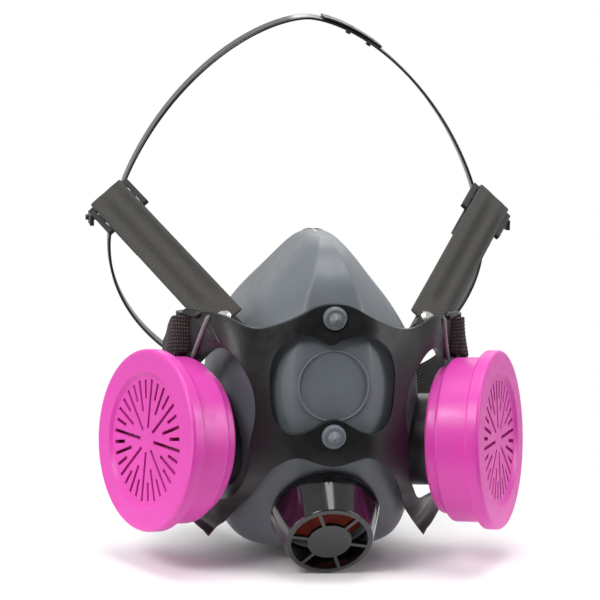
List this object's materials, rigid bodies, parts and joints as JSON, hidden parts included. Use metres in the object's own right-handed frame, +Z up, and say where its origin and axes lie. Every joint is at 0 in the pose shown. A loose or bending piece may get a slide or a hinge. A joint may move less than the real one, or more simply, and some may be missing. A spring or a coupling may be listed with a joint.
{
  "type": "half-mask respirator",
  "caption": "Half-mask respirator: rubber facepiece, black yoke, two round screw-on filters, conical exhalation cover, head straps with a ring cradle and an elastic neck strap.",
  "frame": {"origin": "on the resting surface, under the middle of the whole object", "axes": "+Z up; -Y is the front of the mask; +X is to the right of someone facing it"},
  "size_m": [0.2256, 0.1834, 0.2684],
  "materials": {
    "face_rubber": "satin blue-grey rubber",
    "valve_rubber": "smooth dark red rubber",
    "clear_rubber": "smooth pale rubber",
    "gasket_rubber": "matt black rubber",
    "yoke_plastic": "semi-gloss black moulding",
    "port_plastic": "semi-gloss black moulding",
    "cover_plastic": "high-gloss black moulding",
    "seat_plastic": "gloss black moulding",
    "filter_plastic": "satin magenta-pink moulding",
    "filter_paper": "folded filter paper",
    "webbing": "ribbed dark webbing",
    "elastic": "coarse woven elastic",
    "cradle_plastic": "gloss black band",
    "buckle_plastic": "black moulding",
    "rivet_metal": "bright dome"
  },
  "bodies": {
    "mask": {"facepiece": "face_rubber", "face_seal": "face_rubber", "facepiece_studs": "face_rubber", "yoke": "yoke_plastic", "exhalation_seat": "seat_plastic", "strap_rivets": "rivet_metal", "nape_plate": "buckle_plastic", "inlet_port_left": "port_plastic", "strap_end_left": "webbing", "neck_strap_left": "elastic", "inlet_port_right": "port_plastic", "strap_end_right": "webbing", "neck_strap_right": "elastic"},
    "exhale_flap": {"exhalation_valve": "valve_rubber"},
    "outlet_cover": {"exhalation_cover": "cover_plastic"},
    "harness": {"head_strap_left": "webbing", "strap_buckle_left": "buckle_plastic", "head_strap_right": "webbing", "strap_buckle_right": "buckle_plastic"},
    "cradle": {"head_cradle": "cradle_plastic", "cradle_pins": "buckle_plastic", "cradle_pegs": "cradle_plastic"},
    "nape_hook": {"nape_hook": "buckle_plastic"},
    "filter_lift_left": {"filter_gasket_left": "gasket_rubber"},
    "filter_left": {"filter_body_left": "filter_plastic", "filter_media_left": "filter_paper", "filter_cover_left": "filter_plastic"},
    "inhale_flap_left": {"inhalation_valve_left": "clear_rubber"},
    "filter_lift_right": {"filter_gasket_right": "gasket_rubber"},
    "filter_right": {"filter_body_right": "filter_plastic", "filter_media_right": "filter_paper", "filter_cover_right": "filter_plastic"},
    "inhale_flap_right": {"inhalation_valve_right": "clear_rubber"}
  },
  "joints": [
    {"name": "filter_turn_left", "type": "hinge", "parent": "filter_lift_left", "child": "filter_left", "pos_m": [-0.0614, -0.0386, 0.06087], "axis": [-0.8883, -0.4526, 0.0785], "range_deg": [0, 630]},
    {"name": "filter_rise_left", "type": "slide", "parent": "mask", "child": "filter_lift_left", "axis": [-0.8883, -0.4526, 0.0785], "range_m": [0, 0.007]},
    {"name": "inhale_flap_left", "type": "slide", "parent": "mask", "child": "inhale_flap_left", "axis": [0.8883, 0.4526, -0.0785], "range_m": [0, 0.0015], "stiffness_N_per_m": 60},
    {"name": "filter_turn_right", "type": "hinge", "parent": "filter_lift_right", "child": "filter_right", "pos_m": [0.0614, -0.0386, 0.06087], "axis": [0.8883, -0.4526, 0.0785], "range_deg": [0, 630]},
    {"name": "filter_rise_right", "type": "slide", "parent": "mask", "child": "filter_lift_right", "axis": [0.8883, -0.4526, 0.0785], "range_m": [0, 0.007]},
    {"name": "inhale_flap_right", "type": "slide", "parent": "mask", "child": "inhale_flap_right", "axis": [-0.8883, 0.4526, -0.0785], "range_m": [0, 0.0015], "stiffness_N_per_m": 60},
    {"name": "exhale_flap_lift", "type": "slide", "parent": "mask", "child": "exhale_flap", "axis": [0, -0.8572, -0.515], "range_m": [0, 0.002], "stiffness_N_per_m": 60},
    {"name": "outlet_cover_pull", "type": "slide", "parent": "mask", "child": "outlet_cover", "axis": [0, -0.8572, -0.515], "range_m": [0, 0.015]},
    {"name": "harness_lift", "type": "hinge", "parent": "mask", "child": "harness", "pos_m": [0, -0.0361, 0.12827], "axis": [1, 0, 0], "range_deg": [0, 60]},
    {"name": "cradle_swing", "type": "hinge", "parent": "harness", "child": "cradle", "pos_m": [0, 0.0625, 0.15987], "axis": [1, 0, 0], "range_deg": [-10, 2]},
    {"name": "nape_hook_open", "type": "hinge", "parent": "mask", "child": "nape_hook", "pos_m": [-0.0205, 0.08688, 0.0566], "axis": [0, 0.4226, 0.9063], "range_deg": [0, 70]}
  ],
  "couplings": [
    {"joint": "filter_rise_left", "follows": "filter_turn_left", "m_per_rad": 0.00063662},
    {"joint": "filter_rise_right", "follows": "filter_turn_right", "m_per_rad": 0.00063662}
  ]
}
